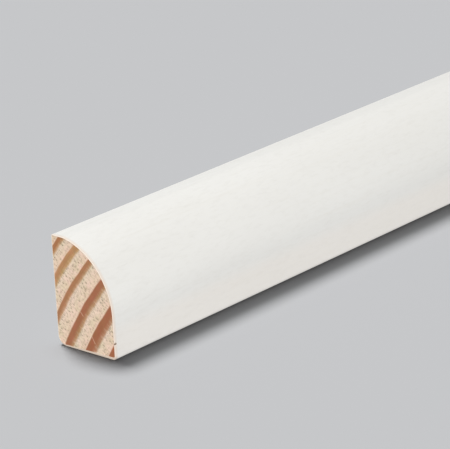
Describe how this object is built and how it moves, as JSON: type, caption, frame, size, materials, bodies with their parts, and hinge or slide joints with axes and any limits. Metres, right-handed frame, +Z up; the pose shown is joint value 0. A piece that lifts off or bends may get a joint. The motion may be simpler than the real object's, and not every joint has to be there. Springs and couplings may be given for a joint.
{
  "type": "shoe moulding",
  "caption": "Length of primed pine base shoe moulding with a flat back and base, a low straight toe and one long curved face, for the foot of a skirting board.",
  "frame": {"origin": "on the floor, under the middle of the base's depth, halfway along the length", "axes": "+X along the length; +Y towards the wall, out of the flat back; +Z up"},
  "size_m": [2.4384, 0.0126, 0.0191],
  "materials": {
    "primed_pine": "white primer coat, matt to eggshell, with bare pine end grain on the two sawn ends"
  },
  "bodies": {
    "root": {"shoe_moulding": "primed_pine"}
  },
  "joints": []
}
